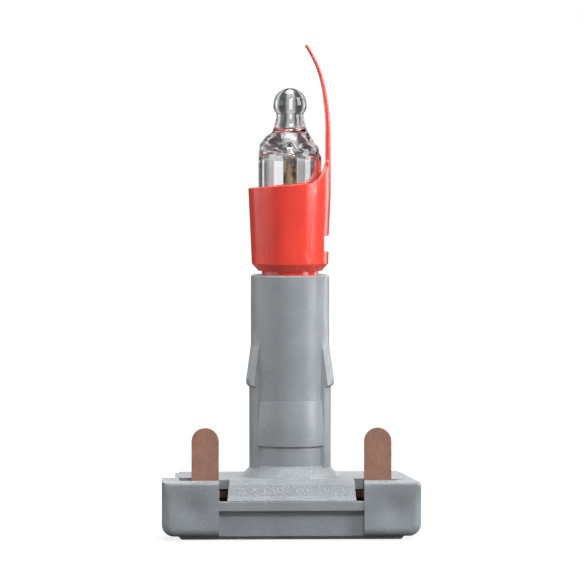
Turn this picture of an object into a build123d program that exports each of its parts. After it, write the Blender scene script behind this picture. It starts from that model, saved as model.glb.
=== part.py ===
"""Plug-in glow-lamp unit: a glass neon lamp in a pull-out holder on a tubular contact base."""
import os
from math import cos, radians, sin, sqrt, tan

from build123d import *

# The origin is on the tube's axis at the level of the foot plate's underside.
# +Z runs up the tube, and -Y is the side that the contact blades stand nearest to.

# Foot plate
foot_thickness = 0.9
foot_proud = 0.35
foot_length = 21.3
foot_front = 4.0
foot_back = 3.3
foot_end_chamfer = 0.25
foot_clearance = 0.04

# Base tray
base_length = 24.5
base_front = 5.2
base_back = 4.0
tray_height = 5.3
tray_wall = 0.7
block_width = 5.4
block_bottom_radius = 1.15
block_top_radius = 0.55
end_taper_width = 1.1
corner_notch_width = 1.3
corner_notch_front = 1.2
ledge_height = 0.93
ledge_drop = 1.95
ledge_set_back = 0.1
recess_depth = 0.85
shelf_drop = 0.4
core_depth = 1.5
core_length = 5.2
core_width = 4.6
core_gap = 0.8

# Platform of the tube housing
platform_thickness = 1.05
platform_proud = 0.1
platform_front = 3.8
platform_step = 1.7
platform_rim = 0.35
rebate_clearance = 0.03
window_width = 0.95
lip_flare = 0.2
lip_top_front = 4.45
lip_bend_front = 4.75
lip_bend_drop = 0.5
lip_foot_front = 4.9
lip_foot_rise = 0.5
lip_back = 4.2
clamp_rib_length = 1.0
clamp_rib_width = 1.6

# Tube of the housing
tube_height = 24.9
core_radius = 3.6
rail_radius = 3.9
rail_half_width = 2.25
rail_root = 0.3
upper_radius = 3.73
upper_bottom = 19.7
flare_radius = 4.72
collar_radius = 3.86
collar_bottom = 8.7
collar_shoulder = 10.5
collar_top = 13.0
collar_neck_radius = 3.68
catch_radius = 4.19
catch_bottom = 14.2
catch_lip = 0.28
catch_land = 0.47
catch_top = 18.3
facet_height = 15.5
facet_half_width = 1.3
facet_turn = 32.5
facet_tilt = 6.5
bore_radius = 2.45
mouth_depth = 1.3
mouth_radius = 2.72
tube_edge_chamfer = 0.12
spring_depth = 7.0

# Contacts, bent from one gauge of strip
strip_thickness = 0.4
strip_width = 1.2
strip_gap = 0.65
blade_width = 2.6
blade_height = 10.6
blade_gap = 0.15
arm_length = 0.75
arm_height = 0.6
arm_rise = 0.7
leaf_width = 1.2
leaf_seat = 0.02
leaf_top_gap = 0.1
tab_overrun = 0.4

# Series resistor
resistor_radius = 1.1
resistor_length = 6.0
upper_lead_length = 1.95
cap_wall = 0.15
cap_length = 1.0
resistor_lead_radius = 0.25

# Lamp holder
collar_clearance = 0.05
stub_radius = 1.6
stub_length = 3.1
duct_radius = 1.1
holder_gap = 0.37
cup_foot_radius = 3.02
cup_chamfer_radius = 3.64
cup_chamfer_height = 0.69
cup_floor_thickness = 1.03
cup_rim_radius = 4.0
cup_height = 8.4
rim_tilt = 4.9
bulb_clearance = 0.06
pad_side = 1.5
pad_bottom = 1.83
pad_inset = 0.07
notch_height = 1.53
notch_floor = 3.2
tongue_radius = 3.88
tongue_thickness = 0.5
tongue_width = 2.4
tongue_root_turn = 1.3
tongue_root_rise = 2.4
tongue_flank_rise = 1.9
tongue_flank_radius = 1.5
tongue_straight = 4.3
tongue_lower_bend = 24.0
tongue_lower_angle = 11.7
tongue_upper_bend = 10.3
tongue_upper_angle = 24.4
tongue_tip_thickness = 0.22
tongue_tip_width = 2.1
tongue_stations = 4

# Glass bulb
glass_radius = 3.0
glass_wall = 0.5
glass_base_rise = 1.0
glass_base_wall = 0.8
glass_base_round = 1.3
pinch_thickness = 1.4
pinch_width = 3.4
pinch_overlap = 0.4
shoulder_rise = 9.9
shoulder_mid_radius = 2.45
shoulder_mid_rise = 11.32
bulb_flare_radius = 1.7
bulb_flare_rise = 12.2
neck_radius = 1.29
neck_rise = 13.65
ball_radius = 1.6
ball_rise = 14.75
ball_start_angle = 30.0
dome_start_rise = 9.5
dome_top_rise = 10.66
dome_flat_radius = 1.1

# Electrodes and their leads
electrode_radius = 0.46
electrode_length = 7.3
electrode_spacing = 1.6
electrode_angle = 12.0
electrode_rise = 1.2
lamp_lead_radius = 0.15
lamp_lead_drop = 0.45
lamp_lead_gap = 0.03
lamp_lead_end_gap = 0.3

# Heights that follow from the sizes above
half_length = base_length / 2
block_inner = half_length - block_width
tray_bottom = foot_proud
tray_top = tray_bottom + tray_height
platform_top = tray_top + platform_proud
platform_bottom = platform_top - platform_thickness
ledge_top = tray_top - ledge_drop
ledge_bottom = ledge_top - ledge_height
shelf_top = ledge_top - shelf_drop
strip_top = shelf_top + strip_thickness
mouth_bottom = tube_height - mouth_depth
cup_bottom = tube_height + holder_gap
cup_floor = cup_bottom + cup_floor_thickness
rim_top = cup_bottom + cup_height
stub_bottom = mouth_bottom - stub_length
spring_shelf = mouth_bottom - spring_depth
resistor_top = spring_shelf - upper_lead_length - cap_wall
resistor_bottom = resistor_top - resistor_length
glass_bottom = cup_floor + glass_base_rise
cavity_bottom = glass_bottom + glass_base_wall
electrode_bottom = cavity_bottom + electrode_rise

# Places across the base that follow from the sizes above
notch_end = half_length - corner_notch_width
platform_end = notch_end - platform_rim
chamber_front = base_front - tray_wall
chamber_back = base_back - tray_wall
chamber_half = platform_end - tray_wall
blade_front = chamber_front - blade_gap
blade_outer = block_inner + blade_width
blade_centre = block_inner + blade_width / 2
lip_front = base_front - ledge_set_back
lip_half = block_inner - window_width
leaf_outer = sqrt(bore_radius**2 - (leaf_width / 2) ** 2) - leaf_seat
leaf_inner = leaf_outer - strip_thickness
leaf_top = mouth_bottom - leaf_top_gap
left_strip_back = leaf_outer - strip_width
right_strip_front = left_strip_back - strip_gap
lead_fold_radius = stub_radius + lamp_lead_radius + lamp_lead_gap
tongue_flat = tongue_radius - tongue_thickness


def foot_outline(clearance):
    """Foot plate seen from above, grown by a clearance."""
    with BuildSketch() as outline:
        with Locations((0, (foot_back - foot_front) / 2)):
            Rectangle(foot_length + 2 * clearance, foot_front + foot_back + 2 * clearance)
    return outline.sketch


def platform_outline(clearance):
    """Platform seen from above, with its left end stepped back behind the left blade."""
    end = platform_end + clearance
    step = blade_outer + clearance
    front = -platform_front - clearance
    step_front = -platform_step - clearance
    back = base_back + clearance
    with BuildSketch() as outline:
        with BuildLine():
            Polyline(
                (-end, back),
                (-end, step_front),
                (-step, step_front),
                (-step, front),
                (end, front),
                (end, back),
                close=True,
            )
        make_face()
    return outline.sketch


def blade_face(side):
    """Front view of a contact blade with its round end and the arm at its foot."""
    arm_bottom = shelf_top + arm_rise
    round_height = blade_height - blade_width / 2
    with BuildSketch() as face:
        with Locations((side * blade_centre, shelf_top)):
            Rectangle(blade_width, round_height - shelf_top, align=(Align.CENTER, Align.MIN))
        with Locations((side * blade_centre, round_height)):
            Circle(blade_width / 2)
        with Locations((side * (block_inner - arm_length / 2), arm_bottom)):
            Rectangle(arm_length, arm_height, align=(Align.CENTER, Align.MIN))
    return face.sketch


def tongue_section(angle, centre, bend, thickness, width):
    """Section of the tongue at an angle round one of its bends, with its outer face crowned."""
    outward = (cos(radians(angle)), 0, sin(radians(angle)))
    along = (-sin(radians(angle)), 0, cos(radians(angle)))
    origin = (centre[0] + bend * outward[0], 0, centre[1] + bend * outward[2])
    plane = Plane(origin=origin, x_dir=outward, z_dir=along)
    crown = tongue_radius - sqrt(tongue_radius**2 - (width / 2) ** 2)
    with BuildSketch(plane) as section:
        with BuildLine():
            ThreePointArc((-crown, -width / 2), (0, 0), (-crown, width / 2))
            Polyline(
                (-crown, width / 2),
                (-thickness, width / 2),
                (-thickness, -width / 2),
                (-crown, -width / 2),
            )
        make_face()
    return section.sketch


def round_bar(radius, bottom, top):
    """Face of revolution of a plain round bar on the axis."""
    with BuildSketch() as face:
        with Locations((radius / 2, (bottom + top) / 2)):
            Rectangle(radius, top - bottom)
    return face.sketch


# Foot plate: closes the tray from below and stands a little proud of it.
with BuildPart() as foot_plate:
    with BuildSketch():
        add(foot_outline(0))
    extrude(amount=foot_thickness)
    foot_ends = foot_plate.edges().filter_by(Axis.Y).group_by(Axis.Z)[0]
    chamfer(foot_ends, length=foot_end_chamfer)
foot_plate.part.label = "foot_plate"

# Base tray: two end blocks joined by a recessed front with a ledge.
with BuildPart() as base_tray:
    with BuildSketch(Plane.XY.offset(tray_bottom)):
        with BuildLine():
            Polyline(
                (-half_length, -base_front),
                (half_length, -base_front),
                (half_length - end_taper_width, base_back),
                (-notch_end, base_back),
                (-notch_end, -corner_notch_front),
                (-half_length, -corner_notch_front),
                close=True,
            )
        make_face()
    extrude(amount=tray_height)
    low_edges = base_tray.edges().group_by(Axis.Z)[0].sort_by(Axis.X)
    fillet([low_edges[0], low_edges[-1]], radius=block_bottom_radius)
    high_edges = base_tray.edges().group_by(Axis.Z)[-1].sort_by(Axis.X)
    fillet(high_edges[-1], radius=block_top_radius)
    with BuildSketch(Plane.XZ.offset(base_front)):
        with Locations((0, tray_bottom)):
            Rectangle(2 * block_inner, ledge_bottom - tray_bottom, align=(Align.CENTER, Align.MIN))
    extrude(amount=-recess_depth, mode=Mode.SUBTRACT)
    with BuildSketch(Plane.XZ.offset(base_front)):
        with Locations((0, ledge_bottom)):
            Rectangle(2 * block_inner, tray_top - ledge_bottom, align=(Align.CENTER, Align.MIN))
    extrude(amount=-ledge_set_back, mode=Mode.SUBTRACT)
    with BuildSketch(Plane.XY.offset(ledge_top)):
        with Locations((0, -base_front)):
            Rectangle(2 * block_inner, tray_wall, align=(Align.CENTER, Align.MIN))
    extrude(amount=tray_top - ledge_top, mode=Mode.SUBTRACT)
    with BuildSketch(Plane.XY.offset(shelf_top)):
        with Locations((0, -chamber_front)):
            Rectangle(2 * chamber_half, chamber_front + chamber_back, align=(Align.CENTER, Align.MIN))
        with Locations((-platform_end, -chamber_front)):
            Rectangle(chamber_half, chamber_front - platform_step, align=(Align.MIN, Align.MIN))
    extrude(amount=tray_top - shelf_top, mode=Mode.SUBTRACT)
    with BuildSketch(Plane.XY.offset(platform_bottom)):
        add(platform_outline(rebate_clearance))
    extrude(amount=tray_top - platform_bottom, mode=Mode.SUBTRACT)
    with BuildSketch(Plane.XY.offset(tray_bottom)):
        add(foot_outline(foot_clearance))
    extrude(amount=foot_thickness - foot_proud, mode=Mode.SUBTRACT)
    with BuildSketch(Plane.XY.offset(foot_thickness)):
        with Locations((0, (foot_back - foot_front) / 2)):
            with GridLocations(core_length + core_gap, core_width, 3, 1):
                Rectangle(core_length, core_width)
    extrude(amount=core_depth, mode=Mode.SUBTRACT)
base_tray.part.label = "base_tray"

# Sloping lip that closes the front of the housing and stands on the tray's ledge.
with BuildPart() as front_lip:
    with BuildSketch(Plane.YZ):
        with BuildLine():
            Polyline(
                (-platform_step, platform_top),
                (-lip_top_front, platform_top),
                (-lip_bend_front, platform_top - lip_bend_drop),
                (-lip_foot_front, ledge_top + lip_foot_rise),
                (-lip_front, ledge_top),
                (-lip_back, ledge_top),
                (-lip_back, platform_bottom),
                (-platform_step, platform_bottom),
                close=True,
            )
        make_face()
    extrude(amount=block_inner, both=True)
    with BuildSketch(Plane.XZ):
        with BuildLine():
            Polyline(
                (-lip_half, platform_top),
                (lip_half, platform_top),
                (lip_half + lip_flare, ledge_top),
                (-lip_half - lip_flare, ledge_top),
                close=True,
            )
        make_face()
    extrude(amount=base_front, mode=Mode.INTERSECT)

# Side rails up the tube, each ending in a snap catch with two sloping corner facets.
with BuildPart() as side_rails:
    with BuildSketch(Plane.XZ):
        with BuildLine():
            Polyline(
                (core_radius - rail_root, platform_top - rail_root),
                (rail_radius, platform_top - rail_root),
                (rail_radius, catch_bottom),
                (catch_radius, catch_bottom + catch_lip),
                (catch_radius, catch_bottom + catch_lip + catch_land),
                (upper_radius, catch_top),
                (upper_radius, upper_bottom),
                (core_radius - rail_root, upper_bottom),
                close=True,
            )
        make_face()
    revolve(axis=Axis.Z)
    with BuildSketch(Plane.YZ):
        Rectangle(2 * rail_half_width, 2 * tube_height)
    extrude(amount=catch_radius, both=True, mode=Mode.INTERSECT)
    for side in (-1, 1):
        for face in (-1, 1):
            corner_x = side * sqrt(catch_radius**2 - facet_half_width**2)
            normal_x = side * cos(radians(facet_turn)) * cos(radians(facet_tilt))
            normal_y = face * sin(radians(facet_turn)) * cos(radians(facet_tilt))
            facet = Plane(
                origin=(corner_x, face * facet_half_width, facet_height),
                z_dir=(normal_x, normal_y, sin(radians(facet_tilt))),
            )
            split(bisect_by=facet, keep=Keep.BOTTOM)

# Tube housing: the platform, the flared tube with its collar, rails and catches, in one moulding.
with BuildPart() as tube_housing:
    with BuildSketch(Plane.XY.offset(platform_bottom)):
        add(platform_outline(0))
    extrude(amount=platform_thickness)
    add(front_lip.part)
    with BuildSketch(Plane.XZ):
        with BuildLine():
            Polyline(
                (0, platform_top - lip_bend_drop),
                (flare_radius, platform_top - lip_bend_drop),
                (flare_radius, platform_top),
                (core_radius, platform_top + flare_radius - core_radius),
                (core_radius, collar_bottom),
                (collar_radius, collar_bottom),
                (collar_radius, collar_shoulder),
                (collar_neck_radius, collar_top),
                (core_radius, collar_top),
                (upper_radius, upper_bottom),
                (upper_radius, tube_height),
                (0, tube_height),
                close=True,
            )
        make_face()
    revolve(axis=Axis.Z)
    chamfer(tube_housing.edges().group_by(Axis.Z)[-1], length=tube_edge_chamfer)
    add(side_rails.part)
    with BuildSketch(Plane.XZ.offset(-base_back)):
        with Locations((0, platform_bottom)):
            Rectangle(2 * flare_radius, tube_height, align=(Align.CENTER, Align.MIN))
    extrude(amount=-flare_radius, mode=Mode.SUBTRACT)
    with BuildSketch(Plane.XY.offset(platform_bottom)):
        with GridLocations(2 * blade_centre, 0, 2, 1):
            with Locations((0, -(leaf_outer + left_strip_back) / 2)):
                Rectangle(clamp_rib_length, clamp_rib_width)
    extrude(amount=strip_top - platform_bottom)
    with BuildSketch(Plane.XY.offset(platform_bottom)):
        Circle(bore_radius)
        with Locations((0, leaf_inner)):
            Rectangle(2 * bore_radius, bore_radius, align=(Align.CENTER, Align.MIN), mode=Mode.SUBTRACT)
    extrude(amount=spring_shelf - platform_bottom, mode=Mode.SUBTRACT)
    with BuildSketch(Plane.XY.offset(spring_shelf)):
        Circle(bore_radius)
    extrude(amount=mouth_bottom - spring_shelf, mode=Mode.SUBTRACT)
    with BuildSketch(Plane.XY.offset(mouth_bottom)):
        Circle(mouth_radius)
    extrude(amount=mouth_depth, mode=Mode.SUBTRACT)
tube_housing.part.label = "tube_housing"

# Left contact: blade, foot strip on the tray's shelf, and a leaf that stands up inside the tube.
with BuildPart() as contact_left:
    with BuildSketch(Plane.XZ.offset(blade_front)):
        add(blade_face(-1))
    extrude(amount=-strip_thickness)
    with BuildSketch(Plane.XY.offset(shelf_top)):
        with Locations((-blade_outer, -blade_front)):
            Rectangle(blade_width, blade_front - left_strip_back, align=(Align.MIN, Align.MIN))
        with Locations((-blade_outer, -leaf_outer)):
            Rectangle(blade_outer + leaf_width / 2, strip_width, align=(Align.MIN, Align.MIN))
    extrude(amount=strip_thickness)
    with BuildSketch(Plane.XY.offset(shelf_top)):
        with Locations((0, -leaf_outer)):
            Rectangle(leaf_width, strip_thickness, align=(Align.CENTER, Align.MIN))
    extrude(amount=leaf_top - shelf_top)
contact_left.part.label = "contact_left"

# Right contact: blade and foot strip, which ends under the resistor's lower lead.
with BuildPart() as contact_right:
    with BuildSketch(Plane.XZ.offset(blade_front)):
        add(blade_face(1))
    extrude(amount=-strip_thickness)
    with BuildSketch(Plane.XY.offset(shelf_top)):
        with Locations((block_inner, -blade_front)):
            strip_reach = blade_front - right_strip_front + strip_width
            Rectangle(blade_width, strip_reach, align=(Align.MIN, Align.MIN))
        with Locations((-tab_overrun, -right_strip_front)):
            Rectangle(blade_outer + tab_overrun, strip_width, align=(Align.MIN, Align.MIN))
    extrude(amount=strip_thickness)
contact_right.part.label = "contact_right"

# Socket spring: the second leaf in the tube, standing on the shelf in its bore.
with BuildPart() as socket_spring:
    with BuildSketch(Plane.XY.offset(spring_shelf)):
        with Locations((0, -tab_overrun)):
            Rectangle(leaf_width, tab_overrun + leaf_outer, align=(Align.CENTER, Align.MIN))
    extrude(amount=strip_thickness)
    with BuildSketch(Plane.XY.offset(spring_shelf)):
        with Locations((0, leaf_inner)):
            Rectangle(leaf_width, strip_thickness, align=(Align.CENTER, Align.MIN))
    extrude(amount=leaf_top - spring_shelf)
socket_spring.part.label = "socket_spring"

# Resistor body: the ceramic rod between the two end caps.
with BuildPart() as resistor_body:
    with BuildSketch(Plane.XZ):
        add(round_bar(resistor_radius, resistor_bottom, resistor_top))
    revolve(axis=Axis.Z)
resistor_body.part.label = "resistor_body"

# End caps: thin cups pressed over the ends of the rod.
with BuildPart() as resistor_cap_lower:
    with BuildSketch(Plane.XZ):
        add(round_bar(resistor_radius + cap_wall, resistor_bottom - cap_wall, resistor_bottom + cap_length))
        add(round_bar(resistor_radius, resistor_bottom, resistor_bottom + cap_length), mode=Mode.SUBTRACT)
    revolve(axis=Axis.Z)
resistor_cap_lower.part.label = "resistor_cap_lower"

with BuildPart() as resistor_cap_upper:
    with BuildSketch(Plane.XZ):
        add(round_bar(resistor_radius + cap_wall, resistor_top - cap_length, resistor_top + cap_wall))
        add(round_bar(resistor_radius, resistor_top - cap_length, resistor_top), mode=Mode.SUBTRACT)
    revolve(axis=Axis.Z)
resistor_cap_upper.part.label = "resistor_cap_upper"

# Resistor leads: down to the right contact's strip and up to the socket spring's tab.
with BuildPart() as resistor_lead_lower:
    with BuildSketch(Plane.XZ):
        add(round_bar(resistor_lead_radius, strip_top, resistor_bottom - cap_wall))
    revolve(axis=Axis.Z)
resistor_lead_lower.part.label = "resistor_lead_lower"

with BuildPart() as resistor_lead_upper:
    with BuildSketch(Plane.XZ):
        add(round_bar(resistor_lead_radius, resistor_top + cap_wall, spring_shelf))
    revolve(axis=Axis.Z)
resistor_lead_upper.part.label = "resistor_lead_upper"

# Thin step on the tongue's side of the cup, from above the notch to the rim.
cup_slope = (cup_rim_radius - cup_chamfer_radius) / (cup_height - cup_chamfer_height)
pad_low_radius = cup_chamfer_radius + cup_slope * (pad_bottom - cup_chamfer_height) - pad_inset
pad_turn_rise = pad_bottom + (tongue_radius - pad_low_radius) / cup_slope
pad_top = rim_top + tongue_root_rise
with BuildPart() as pad_step:
    with BuildSketch(Plane.XZ):
        with BuildLine():
            Polyline(
                (pad_low_radius, cup_bottom + pad_bottom),
                (cup_rim_radius + tongue_thickness, cup_bottom + pad_bottom),
                (cup_rim_radius + tongue_thickness, pad_top),
                (tongue_radius, pad_top),
                (tongue_radius, cup_bottom + pad_turn_rise),
                close=True,
            )
        make_face()
    revolve(axis=Axis.Z)
    with BuildSketch(Plane.XY.offset(cup_bottom)):
        with Locations((pad_side, 0)):
            Rectangle(2 * cup_rim_radius, 3 * cup_rim_radius, align=(Align.MIN, Align.CENTER))
    extrude(amount=2 * cup_height, mode=Mode.INTERSECT)

# Lamp holder: stub and collar that plug into the tube, the cup, and the long bent pull tongue.
tongue_bottom = rim_top + tongue_straight
lower_centre = (tongue_radius - tongue_lower_bend, tongue_bottom)
bend_step = tongue_lower_bend - tongue_upper_bend
upper_centre = (
    lower_centre[0] + bend_step * cos(radians(tongue_lower_angle)),
    lower_centre[1] + bend_step * sin(radians(tongue_lower_angle)),
)
lower_arc = tongue_lower_bend * radians(tongue_lower_angle)
upper_arc = tongue_upper_bend * radians(tongue_upper_angle)
tongue_arc = lower_arc + upper_arc
with BuildPart() as lamp_holder:
    with BuildSketch(Plane.XZ):
        with BuildLine():
            Polyline(
                (0, stub_bottom),
                (stub_radius, stub_bottom),
                (stub_radius, mouth_bottom),
                (mouth_radius - collar_clearance, mouth_bottom),
                (mouth_radius - collar_clearance, cup_bottom),
                (cup_foot_radius, cup_bottom),
                (cup_chamfer_radius, cup_bottom + cup_chamfer_height),
                (cup_rim_radius, rim_top),
                (tongue_radius, pad_top),
                (0, pad_top),
                close=True,
            )
        make_face()
    revolve(axis=Axis.Z)
    with BuildSketch(Plane.XY.offset(rim_top)):
        Circle(tongue_radius)
        with Locations((tongue_flat, 0)):
            Rectangle(tongue_radius, tongue_width, align=(Align.MIN, Align.CENTER), mode=Mode.INTERSECT)
    extrude(amount=tongue_straight)
    add(pad_step.part, mode=Mode.SUBTRACT)
    with BuildSketch(Plane.XZ):
        with BuildLine():
            rim_turn = (tongue_flat - tongue_root_turn, rim_top)
            left_fall = (2 * cup_rim_radius + rim_turn[0]) * tan(radians(rim_tilt))
            Polyline(
                (tongue_flat, pad_top),
                (tongue_flat, tongue_bottom),
                (-2 * cup_rim_radius, tongue_bottom),
                (-2 * cup_rim_radius, rim_top - left_fall),
                rim_turn,
            )
            TangentArc((tongue_flat, pad_top), rim_turn, tangent=(0, -1))
        make_face()
    extrude(amount=2 * cup_rim_radius, both=True, mode=Mode.SUBTRACT)
    with BuildSketch(Plane.YZ):
        with BuildLine():
            FilletPolyline(
                (tongue_width / 2, tongue_bottom),
                (tongue_width / 2, rim_top + tongue_flank_rise),
                (tongue_width / 2 + tongue_flank_rise, rim_top),
                (2 * cup_rim_radius, rim_top),
                radius=tongue_flank_radius,
            )
            Polyline(
                (2 * cup_rim_radius, rim_top),
                (2 * cup_rim_radius, tongue_bottom),
                (tongue_width / 2, tongue_bottom),
            )
        make_face()
        mirror(about=Plane.YZ)
    extrude(amount=2 * cup_rim_radius, both=True, mode=Mode.SUBTRACT)
    with BuildSketch(Plane.XY.offset(cup_floor)):
        Circle(glass_radius + bulb_clearance)
    extrude(amount=pad_top - cup_floor, mode=Mode.SUBTRACT)
    with BuildSketch(Plane.XY.offset(stub_bottom)):
        Circle(duct_radius)
    extrude(amount=cup_floor - stub_bottom, mode=Mode.SUBTRACT)
    with BuildSketch(Plane.XZ):
        with Locations((notch_floor, cup_bottom + pad_bottom)):
            Rectangle(cup_rim_radius, notch_height, align=(Align.MIN, Align.MIN))
    extrude(amount=2 * cup_rim_radius, both=True, mode=Mode.SUBTRACT)
    tongue_sections = []
    for station in range(2 * tongue_stations + 1):
        if station <= tongue_stations:
            turn = tongue_lower_angle * station / tongue_stations
            centre = lower_centre
            bend = tongue_lower_bend
            arc_length = bend * radians(turn)
        else:
            turned = tongue_upper_angle * (station - tongue_stations) / tongue_stations
            turn = tongue_lower_angle + turned
            centre = upper_centre
            bend = tongue_upper_bend
            arc_length = lower_arc + bend * radians(turned)
        share = arc_length / tongue_arc
        thickness = tongue_thickness + share * (tongue_tip_thickness - tongue_thickness)
        width = tongue_width + share * (tongue_tip_width - tongue_width)
        tongue_sections.append(tongue_section(turn, centre, bend, thickness, width))
    loft(sections=tongue_sections)
lamp_holder.part.label = "lamp_holder"

# Electrode places: both stand on one circle, turned a little from the front-to-back line.
electrode_x = electrode_spacing / 2 * sin(radians(electrode_angle))
electrode_y = electrode_spacing / 2 * cos(radians(electrode_angle))

# Glass bulb: drawn tip, sloping shoulder, straight wall, and a pinched base that seals the leads.
with BuildPart() as glass_bulb:
    ball_low_radius = ball_radius * cos(radians(ball_start_angle))
    ball_low_height = cup_floor + ball_rise - ball_radius * sin(radians(ball_start_angle))
    with BuildSketch(Plane.XZ):
        with BuildLine():
            Line((0, glass_bottom), (glass_radius - glass_base_round, glass_bottom))
            TangentArc(
                (glass_radius - glass_base_round, glass_bottom),
                (glass_radius, glass_bottom + glass_base_round),
                tangent=(1, 0),
            )
            Line((glass_radius, glass_bottom + glass_base_round), (glass_radius, cup_floor + shoulder_rise))
            TangentArc(
                (glass_radius, cup_floor + shoulder_rise),
                (shoulder_mid_radius, cup_floor + shoulder_mid_rise),
                tangent=(0, 1),
            )
            Line(
                (shoulder_mid_radius, cup_floor + shoulder_mid_rise),
                (bulb_flare_radius, cup_floor + bulb_flare_rise),
            )
            TangentArc(
                (neck_radius, cup_floor + neck_rise),
                (bulb_flare_radius, cup_floor + bulb_flare_rise),
                tangent=(0, -1),
            )
            Line((neck_radius, cup_floor + neck_rise), (ball_low_radius, ball_low_height))
            ThreePointArc(
                (ball_low_radius, ball_low_height),
                (ball_radius, cup_floor + ball_rise),
                (0, cup_floor + ball_rise + ball_radius),
            )
            Line((0, cup_floor + ball_rise + ball_radius), (0, glass_bottom))
        make_face()
    revolve(axis=Axis.Z)
    with BuildSketch(Plane.XY.offset(cup_floor)):
        Rectangle(pinch_thickness, pinch_width)
    extrude(amount=glass_base_rise + pinch_overlap)
    inner_radius = glass_radius - glass_wall
    inner_round = glass_base_round - glass_wall
    with BuildSketch(Plane.XZ):
        with BuildLine():
            Line((0, cavity_bottom), (inner_radius - inner_round, cavity_bottom))
            TangentArc(
                (inner_radius - inner_round, cavity_bottom),
                (inner_radius, cavity_bottom + inner_round),
                tangent=(1, 0),
            )
            Line((inner_radius, cavity_bottom + inner_round), (inner_radius, cup_floor + dome_start_rise))
            TangentArc(
                (inner_radius, cup_floor + dome_start_rise),
                (dome_flat_radius, cup_floor + dome_top_rise),
                tangent=(0, 1),
            )
            Polyline(
                (dome_flat_radius, cup_floor + dome_top_rise),
                (0, cup_floor + dome_top_rise),
                (0, cavity_bottom),
            )
        make_face()
    revolve(axis=Axis.Z, mode=Mode.SUBTRACT)
    with BuildSketch(Plane.XY.offset(cup_floor)):
        with Locations((electrode_x, -electrode_y), (-electrode_x, electrode_y)):
            Circle(lamp_lead_radius)
    extrude(amount=electrode_bottom - cup_floor, mode=Mode.SUBTRACT)
glass_bulb.part.label = "glass_bulb"

# Electrodes: two plain rods side by side in the gas.
with BuildPart() as electrode_front:
    with BuildSketch(Plane.XY.offset(electrode_bottom)):
        with Locations((electrode_x, -electrode_y)):
            Circle(electrode_radius)
    extrude(amount=electrode_length)
electrode_front.part.label = "electrode_front"

with BuildPart() as electrode_rear:
    with BuildSketch(Plane.XY.offset(electrode_bottom)):
        with Locations((-electrode_x, electrode_y)):
            Circle(electrode_radius)
    extrude(amount=electrode_length)
electrode_rear.part.label = "electrode_rear"


def lead_route(side):
    """Points of a lamp lead: down the duct, out under the stub and up beside it."""
    across = side * sin(radians(electrode_angle))
    along = -side * cos(radians(electrode_angle))
    inner = electrode_spacing / 2
    low = stub_bottom - lamp_lead_drop
    return [
        (inner * across, inner * along, electrode_bottom),
        (inner * across, inner * along, low),
        (lead_fold_radius * across, lead_fold_radius * along, low),
        (lead_fold_radius * across, lead_fold_radius * along, mouth_bottom - lamp_lead_end_gap),
    ]


# Lamp leads: from the electrodes through the pinch, folded up outside the stub.
with BuildPart() as lamp_lead_front:
    with BuildLine():
        Polyline(lead_route(1))
    with BuildSketch(Plane.XY.offset(electrode_bottom)):
        with Locations((electrode_x, -electrode_y)):
            Circle(lamp_lead_radius)
    sweep(transition=Transition.RIGHT)
lamp_lead_front.part.label = "lamp_lead_front"

with BuildPart() as lamp_lead_rear:
    with BuildLine():
        Polyline(lead_route(-1))
    with BuildSketch(Plane.XY.offset(electrode_bottom)):
        with Locations((-electrode_x, electrode_y)):
            Circle(lamp_lead_radius)
    sweep(transition=Transition.RIGHT)
lamp_lead_rear.part.label = "lamp_lead_rear"

os.makedirs("parts", exist_ok=True)
export_step(foot_plate.part, "parts/foot_plate.step")
export_step(base_tray.part, "parts/base_tray.step")
export_step(tube_housing.part, "parts/tube_housing.step")
export_step(contact_left.part, "parts/contact_left.step")
export_step(contact_right.part, "parts/contact_right.step")
export_step(socket_spring.part, "parts/socket_spring.step")
export_step(resistor_body.part, "parts/resistor_body.step")
export_step(resistor_cap_lower.part, "parts/resistor_cap_lower.step")
export_step(resistor_cap_upper.part, "parts/resistor_cap_upper.step")
export_step(resistor_lead_lower.part, "parts/resistor_lead_lower.step")
export_step(resistor_lead_upper.part, "parts/resistor_lead_upper.step")
export_step(lamp_holder.part, "parts/lamp_holder.step")
export_step(glass_bulb.part, "parts/glass_bulb.step")
export_step(electrode_front.part, "parts/electrode_front.step")
export_step(electrode_rear.part, "parts/electrode_rear.step")
export_step(lamp_lead_front.part, "parts/lamp_lead_front.step")
export_step(lamp_lead_rear.part, "parts/lamp_lead_rear.step")
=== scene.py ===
"""Dresses the plug-in glow-lamp unit and sets its studio stage. Lengths are metres."""
import math

import bmesh
import bpy
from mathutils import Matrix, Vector
from mathutils.geometry import intersect_point_line


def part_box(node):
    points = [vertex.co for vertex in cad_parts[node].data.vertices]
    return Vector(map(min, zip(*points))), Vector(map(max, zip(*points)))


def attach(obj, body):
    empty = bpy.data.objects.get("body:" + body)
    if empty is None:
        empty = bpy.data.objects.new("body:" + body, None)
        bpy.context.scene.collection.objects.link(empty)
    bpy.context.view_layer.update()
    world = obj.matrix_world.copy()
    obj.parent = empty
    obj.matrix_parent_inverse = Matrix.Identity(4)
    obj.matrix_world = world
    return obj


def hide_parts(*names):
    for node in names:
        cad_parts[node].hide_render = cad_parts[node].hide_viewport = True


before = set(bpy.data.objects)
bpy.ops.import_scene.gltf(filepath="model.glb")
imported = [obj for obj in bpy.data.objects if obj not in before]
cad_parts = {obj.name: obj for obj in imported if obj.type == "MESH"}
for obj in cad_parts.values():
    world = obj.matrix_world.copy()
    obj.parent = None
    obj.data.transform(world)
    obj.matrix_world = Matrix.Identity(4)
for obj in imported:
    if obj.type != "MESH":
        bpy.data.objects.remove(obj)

bl_info = {
    "name": "Glow Lamp Unit",
    "version": (1, 0, 0),
    "blender": (4, 5, 0),
    "location": "3D View > Sidebar > Glow Lamp",
    "description": "Finishes a plug-in neon glow lamp and lights it on a white stage",
    "category": "Object",
}

MM = 0.001
IMAGE_SIZE = 584

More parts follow.
